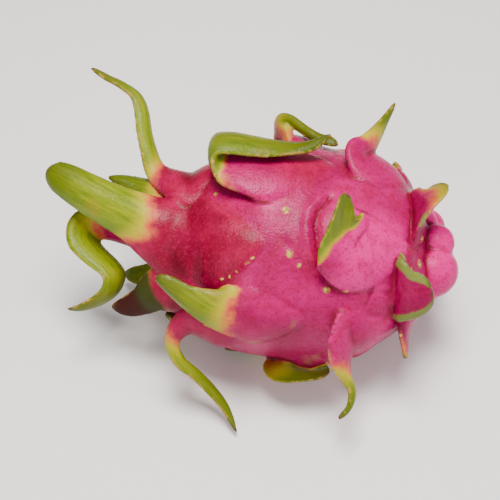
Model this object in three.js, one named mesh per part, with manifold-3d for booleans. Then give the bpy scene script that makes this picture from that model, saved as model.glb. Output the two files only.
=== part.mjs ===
// A dragon fruit lying on its side, grown as one piece: a barrel-shaped body whose skin swells into
// leafy scales. Millimetres, +Z up. The fruit's axis runs along X, with the flower end towards -X and the
// stem end towards +X. The origin is the middle of the small flat spot that the fruit rests on.
import * as THREE from "three";
import { mergeVertices } from "three/addons/utils/BufferGeometryUtils.js";
import Module from "manifold-3d";

const wasm = await Module();
wasm.setup();

// The body: a barrel of 90 mm with a hollow at the flower end and a shallow dimple round the stem.
const BODY_RADIUS = 45;
const FLOWER_REACH = 59; // from the widest place to the flower end
const STEM_REACH = 57; // from the widest place to the stem end
const BARREL = 2.4; // 2 is an ellipse, more is fuller in the shoulders
const AXIS_HEIGHT = 45.5; // above the surface it rests on, which flattens the lowest of its swellings
const FLOWER_HOLLOW = { depth: 9, radius: 13 };
const STEM_DIMPLE = { depth: 5, radius: 9 };
const SAG = { height: 2.5, radius: 15 }; // the underside's bulge, over the spot that the fruit lies on
const BODY_SIDES = 44;
const BODY_RINGS = 26;

// A scale's root is a swelling that rises slowly on the stem side and drops quickly on the flower side.
const SWELL_RISE = 17;
const SWELL_FALL = 7;
const SWELL_SPAN = 0.4; // of the scale's spread, to either side
const SKIN_LIFT = 2; // how far a scale's margins stand out of the skin where it still lies on it
const SUNK = -2.5; // how deep a scale's hind end starts under the skin

const SCALE_SIDES = 10;
const RING_EVERY = 6; // mm between the sections along a scale
const TIP_ROUNDING = 0.07; // the last share of a scale's length, where its tip closes in a round end
const HIND_CLOSING = 0.06; // the first share, where its hind end closes under the skin
const MARGIN_FULLNESS = 0.8; // below 1, a section is fuller near its margins than an ellipse
const TIGHTEST_WRAP = 10; // mm, the smallest radius that a root is wrapped round
const LOBE_SIDES = 12;
const LOBE_RINGS = 8;
const CLEARED = { side: 300, depth: 40 }; // the space under the surface it rests on, which stays empty

// Every scale: at = [mm along the axis, degrees round it from the top towards the front], swell = height of
// its root, spread = its greatest width on the skin, hug = mm that it runs along the skin behind its root,
// thick = [root, tip]. path = its sections from the root to the tip, each [towards the flower end, out from
// the skin, sideways in the direction of turning, width, cup, roll in degrees]. A section's cup is how far its
// margins bend inwards.
const SCALES = [
  // The crown at the flower end, as seen from the front
  {
    name: "nose", at: [-47, 35], swell: 2, spread: 50, hug: 38, thick: [9, 5],
    path: [[0, -2.5, -3, 44, 9, 0], [12, -2.5, -7, 30, 5, 0], [23, -4, -13, 22, 3, 0],
      [33, -6, -18, 19, 3, 0], [44, -8, -24, 17, 3, 0], [52, -10, -29, 15, 2, 0], [61, -13, -34, 11, 1, 0]],
  },
  {
    name: "horn", at: [-46, -27], swell: 3, spread: 38, hug: 17, thick: [9, 2.6],
    path: [[0, 1, 3, 34, 5, 0], [9, 1, 0, 20, 3, 0], [15, 4, -3, 12, 2, 0], [18, 11, -6, 9.5, 1.5, 0],
      [20, 19, -10, 9, 1.5, 0], [21, 26, -14, 9, 1.5, 0], [24, 32, -18, 8, 1, 0], [31, 36, -22, 6.5, 1, 0],
      [37, 38, -25, 5, 0.5, 0], [45, 42, -28, 2, 0, 0]],
  },
  {
    name: "behind_nose", at: [-49, -10], swell: 1, spread: 26, hug: 8, thick: [6, 2],
    path: [[4, -1, -2, 20, 3, 0], [13, 0, -6, 16, 3, 0], [19, 0, -9, 12, 2, 0], [27, 1, -12, 7, 1, 0],
      [34, 1, -14, 2, 0, 0]],
  },
  {
    name: "ribbon", at: [-54, 40], swell: 0, spread: 16, hug: 3, thick: [7, 2.4],
    path: [[0, -3, -2, 15, 2, 0], [15, -9, -7, 13, 2, 0], [29, -15, -12, 14, 1, 0], [38, -16, -12, 16, 1, 0],
      [39, -15, -6, 16, 1, 0], [34, -13, 0, 14, 1, 0], [28, -12, 5, 13, 1, 0], [25, -12, 10, 14, 1, 0],
      [27, -14, 16, 14, 1, 0], [32, -15, 20, 12, 1, 0], [39, -15, 23, 8, 1, 0], [47, -16, 24, 2, 0, 0]],
  },
  {
    name: "loop", at: [-50, 72], swell: 1, spread: 28, hug: 10, thick: [7, 2.4],
    path: [[0, -1, 1, 26, 3, 0], [8, -3, 3, 22, 2, 0], [14, -5, 7, 17, 2, 0], [18, -8, 12, 13, 1, 0],
      [25, -10, 16, 10, 1, 0], [32, -12, 17, 3, 0, 0]],
  },
  {
    name: "tail", at: [-40, 98], swell: 3, spread: 36, hug: 15, thick: [9, 2.4],
    path: [[0, -2, -2, 34, 4, 0], [7, -3, -2, 22, 2, 0], [12, 0, 0, 13, 1, 0], [14, 4, 4, 7, 0.5, 0],
      [11, 9, 9, 6.5, 0.5, 0], [5, 12, 14, 6, 0.5, 0], [-2, 16, 22, 6, 0.5, 0], [-8, 22, 28, 5, 0.5, 0],
      [-13, 32, 33, 2, 0, 0]],
  },
  // Round the middle of the body
  {
    name: "tongue", at: [-27, 76], swell: 3, spread: 40, hug: 34, thick: [8, 3],
    path: [[0, -2, -1, 29, 4, 0], [9, -2, -3, 20, 3, 0], [16, -3, -6, 15, 2, 0], [22, -5, -9, 11, 1, 0],
      [28, -7, -13, 8, 1, 0], [33, -9, -16, 3, 0, 0]],
  },
  {
    name: "roll", at: [-17, -12], swell: 4, spread: 48, hug: 38, thick: [8, 3],
    path: [[0, 1, 0, 42, 5, 0], [10, 0, 0, 32, 3, 0], [16, 1, -1, 25, 1, 0], [19, 5, -1, 20, 0, 0],
      [18, 9, -1, 17, -1, 0], [12, 10, -1, 17, -2, 0], [5, 9, -1, 16, -2, 0], [-3, 8, -0.5, 14, -2, 0],
      [-11, 6.5, -1, 10, -1, 0], [-20, 7, -2, 7, -1, 0], [-29, 10, -6, 2, 0, 0]],
  },
  {
    name: "top_strap", at: [-4, -50], swell: 4, spread: 34, hug: 16, thick: [8, 2.4],
    path: [[0, -1, 0, 28, 4, 0], [3, 3, 2, 15, 1, 0], [4, 8, 3, 8, 0, 0], [0, 8, 6, 5, -1, 0],
      [-5, 4, 9, 5, -1, 0], [-11, 0, 12, 5, -1, 0], [-16, -2, 14, 5, 0, 0], [-20, -4, 15, 2, 0, 0]],
  },
  {
    name: "cup", at: [0, 122], swell: 3, spread: 38, hug: 18, thick: [8, 2.4],
    path: [[0, -3, 2, 30, 4, 0], [5, -3, 2, 22, 3, 0], [7, 0, 0, 18, 3, -30], [3, 3, -2, 16, 4, -55],
      [-5, 4, -4, 13, 4, -65], [-13, 3, -5, 6, 2, -65]],
  },
  {
    name: "centre", at: [19, 38], swell: 4, spread: 42, hug: 28, thick: [8, 2.2],
    path: [[0, 1, 0, 36, 5, 0], [3, 2.5, -3, 31, 3, 0], [5, 5, -6, 24, 1, 0], [5.5, 8, -10, 17, -1, 0],
      [5, 9.5, -14, 13, -2, 0], [4, 9, -18, 10, -1, 0], [3, 8, -22, 5, 0, 0]],
  },
  {
    name: "drop", at: [19, 92], swell: 4, spread: 40, hug: 24, thick: [8, 2.4],
    path: [[0, -3, -2, 34, 7, 0], [1, 1, 0, 27, 7, 0], [2, 5, 3, 18, 5, 0], [1, 10, 8, 8.5, 2, 0],
      [-1, 14, 11, 6, 1, 0], [-1, 18, 14, 5.5, 1, 0], [1, 21, 17, 4.5, 0.5, 0], [5, 24, 19, 2, 0, 0]],
  },
  {
    name: "thorn", at: [28, -24], swell: 4, spread: 38, hug: 20, thick: [9, 2.2],
    path: [[0, -3, 2, 30, 4, 0], [3, 0, 0, 22, 2, 0], [0, 3, -5, 13, 1, 0], [-5, 8, -12, 7.5, 0, 0],
      [-9, 12, -18, 4.5, 0, 0], [-13, 17, -23, 1.5, 0, 0]],
  },
  // The short scales near the stem
  {
    name: "back_point", at: [43, -48], swell: 3, spread: 26, hug: 8, thick: [9, 2.2],
    path: [[0, -3, -2, 20, 2, 0], [1, 1, -2, 13, 1, 0], [2, 5, -1, 2, 0, 0]],
  },
  {
    name: "hook", at: [42, 62], swell: 4, spread: 38, hug: 12, thick: [8, 2.6],
    path: [[0, -1, 0, 32, 4, 0], [2, 3, 0, 28, 1, 0], [-1, 7, 0, 22, -1, 0], [-6, 8, -1, 17, -2, 0],
      [-10, 8, -2, 10, -2, 0]],
  },
  {
    name: "low_point", at: [46, 96], swell: 3, spread: 28, hug: 8, thick: [8, 2.2],
    path: [[0, -1, -1, 24, 3, 0], [3, 5, 2, 14, 1, 0], [3, 12, 5, 6, 0, 0], [3, 15, 7, 1.5, 0, 0]],
  },
  {
    name: "corner", at: [46, 8], swell: 3, spread: 30, hug: 8, thick: [7, 2.2],
    path: [[0, 1, 0, 28, 3, 0], [-4, 5, -3, 22, 1, 0], [-8, 7, -6, 16, 0, 0], [-10, 6, -11, 4, 0, 0]],
  },
  // The far side and the underside
  {
    name: "rear_crown_low", at: [-44, 146], swell: 2, spread: 34, hug: 16, thick: [8, 2.4],
    path: [[0, 0, 0, 26, 4, 0], [6, -1, 1, 19, 3, 0], [11, -3, 2, 11, 2, 0], [16, -6, 3, 2, 1, 0]],
  },
  {
    name: "rear_crown_high", at: [-45, 204], swell: 2, spread: 38, hug: 18, thick: [8, 2.6],
    path: [[0, 1, 0, 34, 4, 0], [10, 0, 0, 25, 3, 0], [18, 1, 0, 16, 2, 0], [25, 3, 0, 11, 1, 0],
      [31, 6, 1, 8, 1, 0], [36, 10, 3, 2, 0, 0]],
  },
  {
    name: "rear_crown_top", at: [-45, 268], swell: 2, spread: 38, hug: 18, thick: [8, 2.6],
    path: [[0, 1, 0, 34, 4, 0], [13, -2, 0, 24, 3, 0], [24, -8, 1, 14, 2, 0], [33, -13, 3, 8, 1, 0],
      [38, -16, 4, 2, 0, 0]],
  },
  {
    name: "rear_leaf", at: [-20, 226], swell: 4, spread: 46, hug: 27, thick: [9, 2.8],
    path: [[0, 1, 0, 38, 5, 0], [12, 2, 0, 26, 3, 0], [22, 4, 0, 17, 2, 0], [31, 8, 2, 11, 1, 0],
      [37, 13, 6, 7, 1, 0], [39, 18, 13, 2, 0, 0]],
  },
  {
    name: "rear_roll", at: [-10, 278], swell: 4, spread: 44, hug: 26, thick: [9, 2.6],
    path: [[0, 1, 0, 36, 5, 0], [10, 1, 0, 24, 2, 0], [17, 3, 0, 15, 1, 0], [20, 7, -3, 11, 0, 0],
      [16, 10, -7, 9, -1, 0], [7, 11, -11, 6, -1, 0], [-1, 12, -13, 2, 0, 0]],
  },
  {
    name: "under_leaf", at: [-8, 158], swell: 1, spread: 40, hug: 20, thick: [7, 2.4],
    path: [[0, 0, 0, 32, 4, 0], [10, 0, -1, 20, 2, 0], [18, -1, -3, 12, 1, 0], [26, -1, -5, 2, 0, 0]],
  },
  {
    name: "rear_spike", at: [22, 246], swell: 4, spread: 42, hug: 22, thick: [9, 2.4],
    path: [[0, 1, 0, 34, 4, 0], [4, 4, 0, 22, 2, 0], [5, 9, 1, 13, 1, 0], [3, 16, 2, 8, 0, 0],
      [-2, 23, 4, 5.5, 0, 0], [-8, 29, 7, 1.5, 0, 0]],
  },
  {
    name: "rear_short", at: [24, 290], swell: 3, spread: 36, hug: 16, thick: [8, 2.4],
    path: [[0, 0, 0, 28, 4, 0], [7, 1, 0, 18, 2, 0], [12, 3, 0, 9, 1, 0], [16, 6, -1, 2, 0, 0]],
  },
  {
    name: "rear_tail", at: [16, 206], swell: 3, spread: 42, hug: 22, thick: [9, 2.4],
    path: [[0, 0, 0, 32, 4, 0], [9, 0, 1, 22, 2, 0], [16, 1, 4, 14, 1, 0], [21, 3, 9, 9, 1, 0],
      [24, 5, 16, 6, 1, 0], [23, 7, 23, 2, 0, 0]],
  },
  {
    name: "under_short", at: [24, 146], swell: 2, spread: 34, hug: 15, thick: [7, 2.4],
    path: [[0, 0, 0, 26, 3, 0], [7, 0, 0, 17, 2, 0], [13, 1, 1, 9, 1, 0], [18, 2, 1, 2, 0, 0]],
  },
  {
    name: "rear_stem_high", at: [45, 262], swell: 3, spread: 30, hug: 9, thick: [8, 2.2],
    path: [[0, 0, 0, 24, 3, 0], [3, 5, 0, 15, 1, 0], [2, 11, 1, 8, 0, 0], [-1, 15, 2, 2, 0, 0]],
  },
  {
    name: "rear_stem_low", at: [45, 215], swell: 3, spread: 32, hug: 9, thick: [8, 2.2],
    path: [[0, 0, 0, 26, 3, 0], [4, 4, 0, 17, 1, 0], [4, 10, 0, 9, 0, 0], [1, 15, -1, 2, 0, 0]],
  },
  {
    name: "under_stem", at: [47, 155], swell: 2, spread: 30, hug: 8, thick: [7, 2.2],
    path: [[0, 0, 0, 24, 3, 0], [5, 2, 0, 15, 1, 0], [7, 6, 0, 2, 0, 0]],
  },
];

// The round pink swellings that stand about the stem: [degrees round the axis, mm from it, mm along it, size]
const STEM_LOBES = [
  [20, 14, 57, 8],
  [68, 15, 55, 11.5],
  [122, 13, 54, 8],
  [170, 14, 55, 9.5],
  [228, 14, 56, 10.5],
  [283, 13, 55.5, 8.5],
  [330, 13, 51, 8.5],
];

// What is left of the stem and of the flower: [mm along the axis, size]
const STEM_STUB = [56, 5];
const FLOWER_SCAR = [-50, 6];

// A point of the fruit from its place along the axis, its angle round it and its distance from it.
function around(along, turn, radius) {
  return new THREE.Vector3(along, -radius * Math.sin(turn), AXIS_HEIGHT + radius * Math.cos(turn));
}

function radians(degrees) {
  return (degrees * Math.PI) / 180;
}

// The smooth barrel's radius at a place along the axis.
function barrelRadius(along) {
  const share = Math.min(1, Math.abs(along) / (along < 0 ? FLOWER_REACH : STEM_REACH));
  return BODY_RADIUS * Math.sqrt(1 - share ** BARREL);
}

// How far its sag and the roots of all the scales swell the skin at one place.
function swelling(along, turn) {
  const round = Math.atan2(-Math.sin(turn), -Math.cos(turn)) * BODY_RADIUS;
  let height = SAG.height * Math.exp(-(along * along + round * round) / SAG.radius ** 2);
  for (const scale of SCALES) {
    const ahead = scale.at[0] - along;
    const away = Math.atan2(Math.sin(turn - radians(scale.at[1])), Math.cos(turn - radians(scale.at[1])));
    const aside = (away * barrelRadius(scale.at[0])) / (scale.spread * SWELL_SPAN);
    const run = ahead / (ahead < 0 ? SWELL_RISE : SWELL_FALL);
    height += scale.swell * Math.exp(-run * run - aside * aside);
  }
  return height;
}

function skinRadius(along, turn) {
  return barrelRadius(along) + swelling(along, turn);
}

// The closed sphere, with each vertex moved to where shape(polar, round) says.
function morphedSphere(sides, rings, shape) {
  const geometry = new THREE.SphereGeometry(1, sides, rings);
  geometry.deleteAttribute("normal");
  geometry.deleteAttribute("uv");
  const merged = mergeVertices(geometry, 1e-5);
  const place = merged.getAttribute("position");
  for (let i = 0; i < place.count; i++) {
    const vertex = new THREE.Vector3().fromBufferAttribute(place, i);
    const moved = shape(Math.acos(THREE.MathUtils.clamp(vertex.y, -1, 1)), Math.atan2(vertex.z, vertex.x));
    place.setXYZ(i, moved.x, moved.y, moved.z);
  }
  return merged;
}

function bodyGeometry() {
  return morphedSphere(BODY_SIDES, BODY_RINGS, (polar, round) => {
    const stemSide = polar < Math.PI / 2;
    const reach = stemSide ? STEM_REACH : -FLOWER_REACH;
    const end = stemSide ? STEM_DIMPLE : FLOWER_HOLLOW;
    const along = Math.abs(Math.cos(polar)) ** (2 / BARREL) * reach;
    const bare = BODY_RADIUS * Math.sin(polar);
    const sunk = end.depth * Math.exp(-((bare / end.radius) ** 2)) * Math.sign(reach);
    return around(along - sunk, -round, bare + swelling(along, -round) * Math.sin(polar));
  });
}

// A smooth curve through rows of numbers, at t from 0 to 1 (Catmull-Rom, with the ends extended).
function throughRows(rows, t) {
  const whole = Math.min(Math.floor(t * (rows.length - 1)), rows.length - 2);
  const part = t * (rows.length - 1) - whole;
  const at = (i) => {
    if (i < 0) return rows[0].map((value, k) => 2 * value - rows[1][k]);
    const last = rows.length - 1;
    if (i > last) return rows[last].map((value, k) => 2 * value - rows[last - 1][k]);
    return rows[i];
  };
  const [a, b, c, d] = [whole - 1, whole, whole + 1, whole + 2].map(at);
  return b.map((_, k) => {
    const rise = (c[k] - a[k]) / 2;
    const fall = (d[k] - b[k]) / 2;
    const bend = 2 * b[k] - 2 * c[k] + rise + fall;
    const ease = -3 * b[k] + 3 * c[k] - 2 * rise - fall;
    return ((bend * part + ease) * part + rise) * part + b[k];
  });
}

// A scale's sections from its hind end to its tip: [x, y, z, width, cup, roll, hold, lift], where hold 1 lies
// on the skin and hold 0 is free of it.
function sectionsOf(scale) {
  const turn = radians(scale.at[1]);
  const out = around(0, turn, 1).sub(around(0, turn, 0));
  const side = new THREE.Vector3(0, -Math.cos(turn), -Math.sin(turn));
  const rootRadius = skinRadius(scale.at[0], turn);
  const behind = [
    [1, 0.06, SUNK],
    [0.7, 0.36, 0.6 * SKIN_LIFT],
    [0.33, 0.75, SKIN_LIFT],
  ].map(([back, broad, lift]) => {
    const along = scale.at[0] + back * scale.hug;
    const point = around(along, turn, skinRadius(along, turn));
    return [...point.toArray(), broad * scale.spread, 0, 0, 1, lift];
  });
  const free = scale.path.map(([ahead, rise, aside, width, cup, roll], i) => {
    const point = around(scale.at[0] - ahead, turn, rootRadius)
      .addScaledVector(out, rise)
      .addScaledVector(side, aside);
    return [...point.toArray(), width, cup, radians(roll), i === 0 ? 0.6 : 0, SKIN_LIFT];
  });
  return [...behind, ...free];
}

// The sections' frames along a scale: centre, side and outward normal, carried along without twisting.
function framesOf(rows, turn, count) {
  const spots = Array.from({ length: count + 1 }, (_, i) => throughRows(rows, i / count));
  const centres = spots.map((row) => new THREE.Vector3(row[0], row[1], row[2]));
  let side = new THREE.Vector3(0, -Math.cos(turn), -Math.sin(turn));
  return spots.map((row, i) => {
    const ahead = centres[Math.min(i + 1, count)].clone().sub(centres[Math.max(i - 1, 0)]).normalize();
    side = side.clone().addScaledVector(ahead, -side.dot(ahead)).normalize();
    const normal = new THREE.Vector3().crossVectors(ahead, side);
    const rolled = side.clone().applyAxisAngle(ahead, row[5]);
    return { row, centre: centres[i], side: rolled, normal: normal.applyAxisAngle(ahead, row[5]) };
  });
}

function lengthOf(rows) {
  let length = 0;
  for (let i = 1; i < rows.length; i++) {
    length += Math.hypot(...[0, 1, 2].map((k) => rows[i][k] - rows[i - 1][k]));
  }
  return length;
}

function scaleGeometry(scale) {
  const rows = sectionsOf(scale);
  const rings = Math.round(lengthOf(rows) / RING_EVERY);
  const frames = framesOf(rows, radians(scale.at[1]), rings);
  const rootShare = 3 / (rows.length - 1);
  return morphedSphere(SCALE_SIDES, rings, (polar, round) => {
    const share = polar / Math.PI;
    const { row, centre, side, normal } = frames[Math.round(share * rings)];
    const [, , , width, cup, , hold, lift] = row;
    const closing = Math.max(0, (share - 1 + TIP_ROUNDING) / TIP_ROUNDING);
    const opening = Math.max(0, 1 - share / HIND_CLOSING);
    const end = Math.sqrt(Math.max(0, 1 - closing * closing)) * Math.sqrt(Math.max(0, 1 - opening * opening));
    const across = Math.cos(round);
    const free = Math.max(0, (share - rootShare) / (1 - rootShare));
    const thick = scale.thick[1] + (scale.thick[0] - scale.thick[1]) * (1 - free) ** 2;
    const aside = across * (width / 2) * end;
    const fullness = Math.abs(Math.sin(round)) ** MARGIN_FULLNESS * Math.sign(Math.sin(round));
    const deep = fullness * (thick / 2) * end;
    const arch = deep - cup * across ** 2;
    const loose = centre.clone().addScaledVector(side, aside).addScaledVector(normal, arch);
    const centreTurn = Math.atan2(-centre.y, centre.z - AXIS_HEIGHT);
    const centreRadius = Math.hypot(centre.y, centre.z - AXIS_HEIGHT);
    const wrapped = centreTurn + aside / Math.max(centreRadius, TIGHTEST_WRAP);
    const sunk = lift - thick / 2;
    const under = skinRadius(Math.max(centre.x, scale.at[0]), wrapped);
    const lying = around(centre.x, wrapped, under + sunk + deep);
    return loose.lerp(lying, THREE.MathUtils.clamp(hold, 0, 1));
  });
}

function lobeGeometry(degrees, off, along, size) {
  const middle = around(along, radians(degrees), off);
  return morphedSphere(LOBE_SIDES, LOBE_RINGS, (polar, round) =>
    new THREE.Vector3(
      Math.cos(polar),
      Math.sin(polar) * Math.cos(round),
      -Math.sin(polar) * Math.sin(round),
    )
      .multiplyScalar(size)
      .add(middle),
  );
}

// A closed geometry as a solid.
function solidOf(geometry) {
  return new wasm.Manifold(
    new wasm.Mesh({
      numProp: 3,
      vertProperties: new Float32Array(geometry.getAttribute("position").array),
      triVerts: new Uint32Array(geometry.index.array),
    }),
  );
}

function geometryOf(solid) {
  const mesh = solid.getMesh();
  return new THREE.BufferGeometry()
    .setAttribute("position", new THREE.BufferAttribute(new Float32Array(mesh.vertProperties), 3))
    .setIndex(new THREE.BufferAttribute(new Uint32Array(mesh.triVerts), 1));
}

function fruitGeometry() {
  let fruit = solidOf(bodyGeometry());
  for (const scale of SCALES) fruit = fruit.add(solidOf(scaleGeometry(scale)));
  for (const lobe of STEM_LOBES) fruit = fruit.add(solidOf(lobeGeometry(...lobe)));
  for (const end of [STEM_STUB, FLOWER_SCAR]) fruit = fruit.add(solidOf(lobeGeometry(0, 0, ...end)));
  const below = new THREE.BoxGeometry(CLEARED.side, CLEARED.side, CLEARED.depth);
  below.translate(0, 0, -CLEARED.depth / 2);
  below.deleteAttribute("normal");
  below.deleteAttribute("uv");
  return geometryOf(fruit.subtract(solidOf(mergeVertices(below))));
}

const group = new THREE.Group();
const skin = new THREE.MeshStandardMaterial({ color: 0xd81e5b, roughness: 0.45, metalness: 0 });
const fruit = new THREE.Mesh(fruitGeometry(), skin);
fruit.name = "dragon_fruit";
group.add(fruit);

export default group;
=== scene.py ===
import math
import random

import bpy
import numpy as np
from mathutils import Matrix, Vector
from mathutils.kdtree import KDTree


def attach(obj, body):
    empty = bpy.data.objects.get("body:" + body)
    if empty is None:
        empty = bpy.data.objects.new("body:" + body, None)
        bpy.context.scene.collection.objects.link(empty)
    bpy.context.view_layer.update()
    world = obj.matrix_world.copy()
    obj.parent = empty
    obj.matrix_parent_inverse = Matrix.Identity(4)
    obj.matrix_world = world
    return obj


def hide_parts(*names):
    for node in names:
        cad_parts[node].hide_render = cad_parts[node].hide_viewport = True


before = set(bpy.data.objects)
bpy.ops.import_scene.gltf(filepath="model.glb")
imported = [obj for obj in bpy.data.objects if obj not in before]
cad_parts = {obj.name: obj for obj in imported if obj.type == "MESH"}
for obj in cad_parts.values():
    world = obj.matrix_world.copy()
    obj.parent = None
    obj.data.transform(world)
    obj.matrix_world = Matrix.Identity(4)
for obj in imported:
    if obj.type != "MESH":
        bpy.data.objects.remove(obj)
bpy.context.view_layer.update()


# The camera looks down on the front of the fruit at fifty degrees, from about half a metre away.
MM = 0.001
AXIS_HEIGHT = 45.5
CAMERA_ELEVATION = math.radians(50)
CAMERA_LENS = 85
SENSOR = 36
VIEW_WIDTH = 500 / 2.3  # millimetres across the picture, at the depth of the fruit's axis
AIM = (-21.7, 1.7)  # where the middle of the picture lies, along the axis and up the picture from it


def deselect_all():
    bpy.ops.object.select_all(action="DESELECT")


def add_camera():
    toward = Vector((0, -math.cos(CAMERA_ELEVATION), math.sin(CAMERA_ELEVATION)))
    upward = Vector((0, math.sin(CAMERA_ELEVATION), math.cos(CAMERA_ELEVATION)))
    distance = VIEW_WIDTH * CAMERA_LENS / SENSOR
    aim = Vector((AIM[0], 0, AXIS_HEIGHT)) + upward * AIM[1]
    deselect_all()
    bpy.ops.object.camera_add(
        location=(aim + toward * distance) * MM,
        rotation=(math.pi / 2 - CAMERA_ELEVATION, 0, 0),
    )
    camera = bpy.context.object
    camera.data.lens = CAMERA_LENS
    camera.data.sensor_width = SENSOR
    camera.data.clip_start = 0.01
    bpy.context.scene.camera = camera


add_camera()


# The studio: a plain white table top, one large soft light overhead and two weak ones that lift the shadows.
# The light from above gives the waxy skin its one broad pale sheen.
AIR_GLOW = 0.32
LIGHTS = {  # place in metres, width in metres, watts, colour
    "overhead": ((-0.03, -0.05, 0.9), 0.35, 14.5, "fffaf5"),
    "front_fill": ((-0.5, -0.9, 0.55), 0.6, 3.6, "ffffff"),
    "right_fill": ((0.8, -0.3, 0.5), 0.5, 2.2, "ffffff"),
}


def linear(hex_colour):
    channels = [int(hex_colour[i : i + 2], 16) / 255 for i in (0, 2, 4)]
    return [c / 12.92 if c <= 0.04045 else ((c + 0.055) / 1.055) ** 2.4 for c in channels] + [1]


def new_material(name):
    material = bpy.data.materials.new(name)
    material.use_nodes = True
    return material, material.node_tree.nodes["Principled BSDF"]


def add_light(name, place, size, power, colour):
    deselect_all()
    place = Vector(place)
    aim = Vector((0, 0, AXIS_HEIGHT)) * MM
    turn = (aim - place).to_track_quat("-Z", "Y").to_euler()
    bpy.ops.object.light_add(type="AREA", location=place, rotation=turn)
    light = bpy.context.object
    light.name = name
    light.data.size = size
    light.data.energy = power
    light.data.color = linear(colour)[:3]


def add_table_top():
    deselect_all()
    bpy.ops.mesh.primitive_plane_add(size=6, location=(0, 0, 0))
    floor = bpy.context.object
    floor.name = "table_top"
    white, shader = new_material("White table top")
    shader.inputs["Base Color"].default_value = linear("f4f3f2")
    shader.inputs["Roughness"].default_value = 0.7
    floor.data.materials.append(white)


def add_studio_air():
    world = bpy.data.worlds.new("Studio air")
    bpy.context.scene.world = world
    world.use_nodes = True
    background = world.node_tree.nodes["Background"]
    background.inputs["Color"].default_value = linear("ffffff")
    background.inputs["Strength"].default_value = AIR_GLOW


add_table_top()
for name, light in LIGHTS.items():
    add_light(name, *light)
add_studio_air()


# The body: a fleshy barrel 90 mm thick under a leathery rind, which swells under the root of every scale.
# It is grown in one piece with its scales. Its axis runs along X, with the flower end towards -X.
BODY_RADIUS = 45
FLOWER_REACH = 59
STEM_REACH = 57
BARREL = 2.4
FLOWER_HOLLOW = (9, 13)  # depth and radius
STEM_DIMPLE = (5, 9)
SAG = (2.5, 15)  # height and radius of the underside's bulge, over the spot that it lies on
SWELL_RISE = 17
SWELL_FALL = 7
SWELL_SPAN = 0.4
SKIN_LIFT = 2
SUNK = -2.5
BODY_SEGMENTS = 320
BODY_RINGS = 200

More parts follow.
